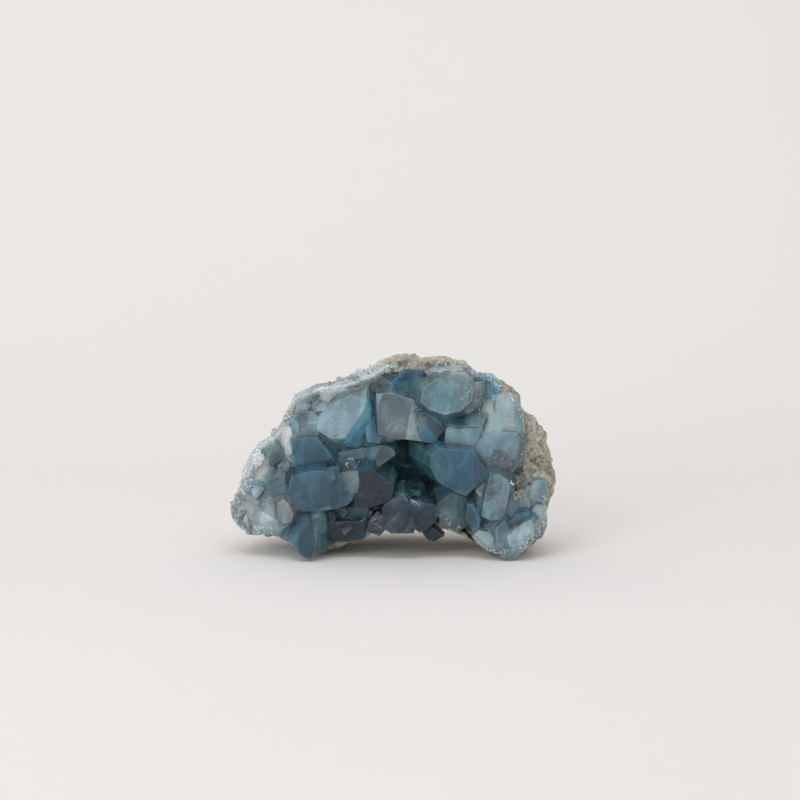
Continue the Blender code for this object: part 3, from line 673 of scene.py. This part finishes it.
# The same for middling crystals that stand between the big ones.
SIDE_CRYSTALS = [
    ("pale", [(-46, 13), (-43, 22), (-38, 28)], 4.0, 8, 5.0, 7.0),
    ("milky", [(-48, 13), (-45, 24)], 3.0, 5, 4.0, 6.0), ("teal", [(-44, 22), (-36, 21)], 2.0, 2, 6.0, 7.0),
    ("green", [(-39, 34), (-35, 30)], 2.0, 2, 5.0, 7.0),
    ("milky", [(-33, 46), (-22, 52), (-8, 56)], 2.5, 8, 4.0, 6.0),
    ("mid", [(-32, 42), (-26, 50)], 2.0, 3, 5.0, 7.0), ("slate", [(-3, 56), (10, 58)], 1.5, 3, 4.0, 6.0),
    ("lilac", [(14, 60), (26, 59)], 1.5, 3, 4.0, 5.5), ("mid", [(29, 57), (35, 54)], 2.0, 3, 4.5, 6.5),
    ("mid", [(40, 45), (41, 36)], 2.0, 2, 5.0, 7.0),
    ("mid", [(24, 22), (30, 22), (44, 16)], 2.0, 3, 4.5, 6.0),
    ("mid", [(27, 6), (40, 3), (47, 9)], 4.0, 7, 4.5, 7.0),
    # The near black ones low down are painted shade.
    ("green", [(16, 13), (24, 10)], 2.0, 2, 4.5, 6.0), ("deep_shade", [(-20, 9), (-3, 10)], 2.0, 3, 4.5, 6.0),
    ("green", [(-22, 13), (-6, 15)], 1.5, 2, 4.5, 6.0), ("slate", [(-22, 28), (-12, 29)], 1.5, 2, 4.5, 6.0),
]  # fmt: skip


def inside_outline(trees, place, size):
    """Whether a crystal of this size, seen by the camera, stays inside the stone's outline."""
    start = eye()
    sides = [(1, 0), (-1, 0), (0, 1), (0, -1), (1, 1), (1, -1), (-1, 1), (-1, -1)]
    for right, up in sides:
        ray = (place + Vector((right, 0, up)) * size * 0.6 - start).normalized()
        if all(tree.ray_cast(start, ray)[0] is None for tree in trees):
            return False
    return True


def build_clusters(name, made_of, trees, table, sunk, tips, lean=0.45):
    """Crystals strewn along the table's paths, each sunk by this share of its length and leaning at random."""
    random.seed(3)
    cluster = Cluster(tips)
    taken = []
    for colour, path, width, count, small, large in table:
        corners = [Vector(point) for point in path]
        lengths = [(b - a).length for a, b in zip(corners, corners[1:])]
        for _ in range(count):
            part = random.choices(range(len(lengths)), lengths)[0]
            along = corners[part].lerp(corners[part + 1], random.random())
            across = (corners[part + 1] - corners[part]).normalized().orthogonal()
            place, normal = on_stone(trees, along + across * random.gauss(0, 0.32) * width)
            if min(tree.find_nearest(place)[3] for tree in trees) > ON_STONE:
                continue
            wild = Vector((random.gauss(0, 1), random.gauss(0, 1), random.gauss(0, 1)))
            way = (normal + wild * lean).normalized()
            size = random.uniform(small, large) * MM
            if large > LARGE_FROM:
                crowded = any((place - other).length < size * KEEP_APART for other in taken)
                if crowded or not inside_outline(trees, place, size):
                    continue
                taken.append(place)
            cluster.add(place - way * size * sunk, way, size, COLOURS[colour])
    return cluster.show(name, made_of)


def remeshed(node, voxel, inward=0.0):
    """A CAD node's solid as an even net of small faces, drawn in from its surface by inward."""
    rough = show("net", copy_of(node), bpy.data.materials.new("net"))
    for _ in range(2 if inward else 1):
        remesh = rough.modifiers.new("Remesh", "REMESH")
        remesh.mode = "VOXEL"
        remesh.voxel_size = voxel
        if inward:
            shrink = rough.modifiers.new("Shrink", "DISPLACE")
            shrink.strength = -inward / 2
            shrink.mid_level = 0.0
    if inward:
        rough.modifiers.new("Smooth", "SMOOTH").iterations = 3
    evaluated = rough.evaluated_get(bpy.context.evaluated_depsgraph_get())
    mesh = bpy.data.meshes.new_from_object(evaluated)
    builder = bmesh.new()
    builder.from_mesh(mesh)
    bpy.data.objects.remove(rough)
    bpy.data.meshes.remove(mesh)
    builder.normal_update()
    return builder


def blended(point, seeds):
    """The colour at a point, running softly from one crystal's colour into the next."""
    near = sorted(((seed[1] - point).length, seed[0]) for seed in seeds)[:3]
    shares = [math.exp((near[0][0] - distance) / (1.5 * MM)) for distance, _ in near]
    total = sum((Vector(colour) * share for (_, colour), share in zip(near, shares)), Vector((0, 0, 0)))
    return total / sum(shares)


def build_core(made_of, seeds):
    """The cloudy body of the crystals, under their clear skin."""
    builder = remeshed("crystal_crust", (0.8) * MM, CLEAR_SKIN)
    tint = builder.verts.layers.float_color.new("tint")
    for vert in builder.verts:
        vert[tint] = (*blended(vert.co, seeds), 1.0)
    for face in builder.faces:
        face.smooth = True
    return show("cloudy_core", builder, made_of, None, "celestite")


def rock_height(point):
    """How far the rock stands out here, in mm, and how open the place is, from 0 in a pit to 1."""
    lumps = noise.noise(point / (6.0 * MM)) * 1.0
    knobs = noise.noise(point / (2.6 * MM) + Vector((7, 3, 1))) * 0.9
    grains = noise.noise(point / (1.2 * MM) + Vector((1, 9, 4))) * 0.6
    pit = max(0.0, 0.32 - noise.voronoi(point / (2.2 * MM))[0][0]) * 3.0
    return lumps + knobs + grains - pit, min(1.0, max(0.0, 0.55 + (knobs + grains) * 0.9 - pit))


def rim_colour(point):
    """The bluish white of the broken crystal layer on the left of the rind, and how much of it shows."""
    x, z = (point + SHIFT).x / MM, (point + SHIFT).z / MM
    share = min(1.0, max(0.0, (-2 - x) / 6)) * min(1.0, max(0.0, (14 - (point + SHIFT).y / MM) / 8))
    share *= max(min(1.0, max(0.0, (z - 4) / 6)), min(1.0, max(0.0, (-32 - x) / 6)))
    patch = 0.5 + 0.5 * noise.noise(point / (4 * MM))
    return (0.52 + 0.3 * patch, 0.57 + 0.28 * patch, 0.58 + 0.27 * patch, share)


def build_rind(made_of, crust_tree):
    """The rock, which roughens with its distance from the crust and from the floor."""
    builder = remeshed("limestone_rind", (0.6) * MM)
    pit_shade = builder.verts.layers.float_color.new("pit_shade")
    tint = builder.verts.layers.float_color.new("tint")
    moves = []
    for vert in builder.verts:
        near = crust_tree.find_nearest(vert.co)[3]
        room = min(1.0, max(0.0, (near - 0.3 * MM) / (1.2 * MM)))
        floor = min(1.0, max(0.0, vert.co.z / (1.5 * MM)))
        out, pit = rock_height(vert.co)
        moves.append(vert.normal * out * MM * room * floor)
        # How open the place is, which the rock's material turns into painted shade in the pits.
        vert[pit_shade] = (pit, pit, pit, 1.0)
        vert[tint] = rim_colour(vert.co)
    for vert, move in zip(builder.verts, moves):
        vert.co += move
    for face in builder.faces:
        face.smooth = True
    return show("limestone", builder, made_of, "limestone_rind", "limestone")


def build_backdrop():
    """A sheet of paper that lies under the stone and curves up behind it."""
    floor_end, radius, height = 0.15, 0.30, 1.4
    side = [(-1.6, 0.0), (floor_end, 0.0)]
    for step in range(1, 17):
        turn = math.radians(90 * step / 16)
        side.append((floor_end + math.sin(turn) * radius, radius - math.cos(turn) * radius))
    side.append((floor_end + radius, height))
    builder = bmesh.new()
    rows = [[builder.verts.new((x, y, z)) for y, z in side] for x in (-1.8, 1.8)]
    for i in range(len(side) - 1):
        face = builder.faces.new((rows[0][i], rows[1][i], rows[1][i + 1], rows[0][i + 1]))
        face.smooth = True
    show("backdrop", builder, paper_material())


def area_light(name, where, look_at, size, power, colour=(1.0, 1.0, 1.0)):
    data = bpy.data.lights.new(name, "AREA")
    data.shape = "RECTANGLE"
    data.size, data.size_y = size
    data.energy = power
    data.color = colour
    light = bpy.data.objects.new(name, data)
    light.location = where
    light.rotation_euler = (Vector(look_at) - Vector(where)).to_track_quat("-Z", "Y").to_euler()
    bpy.context.scene.collection.objects.link(light)


def build_light():
    world = bpy.data.worlds.new("room")
    world.use_nodes = True
    world.node_tree.nodes["Background"].inputs["Color"].default_value = (0.985, 0.995, 1.0, 1.0)
    world.node_tree.nodes["Background"].inputs["Strength"].default_value = 0.60
    bpy.context.scene.world = world
    area_light("top", (-0.1, 0.0, 0.9), (0, 0, 0), (0.9, 0.9), 0.6)
    area_light("front", (-0.5, -0.9, 0.5), (0, 0, 0.03), (0.6, 0.6), 3.6, (1.0, 0.985, 0.975))
    area_light("wall", (0.0, -0.3, 1.0), (0, 0.45, 0.25), (1.2, 0.3), 2.4)


def build_camera():
    data = bpy.data.cameras.new("camera")
    data.lens = 100.0
    data.sensor_width = 36.0
    camera = bpy.data.objects.new("camera", data)
    camera.location = eye()
    camera.rotation_euler = (AIM - eye()).to_track_quat("-Z", "Y").to_euler()
    bpy.context.scene.collection.objects.link(camera)
    bpy.context.scene.camera = camera


def main():
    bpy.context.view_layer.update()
    bpy.context.scene.view_settings.view_transform = "Standard"
    satin = celestite_material("celestite crystal", 0.62, 0.22, 0.004)
    milky = celestite_material("milky celestite", 0.12, 0.3, 0.003)
    crust, seeds = build_crust(satin, milky)
    build_core(core_material(), seeds)
    tree = tree_of(crust)
    rind = build_rind(limestone_material(), tree)
    bed = build_bed(satin, tree, seeds)
    trees = [tree, tree_of(bed)]
    build_clusters("middle_crystals", satin, trees, SIDE_CRYSTALS, 0.89, (0.42, 0.55), 0.30)
    bright = celestite_material("small celestite", 0.15, 0.25, 0.0)
    build_clusters("small_crystals", bright, [*trees, tree_of(rind)], CLUSTERS, 0.1, (0.05, 0.3))
    build_backdrop()
    build_light()
    build_camera()


main()
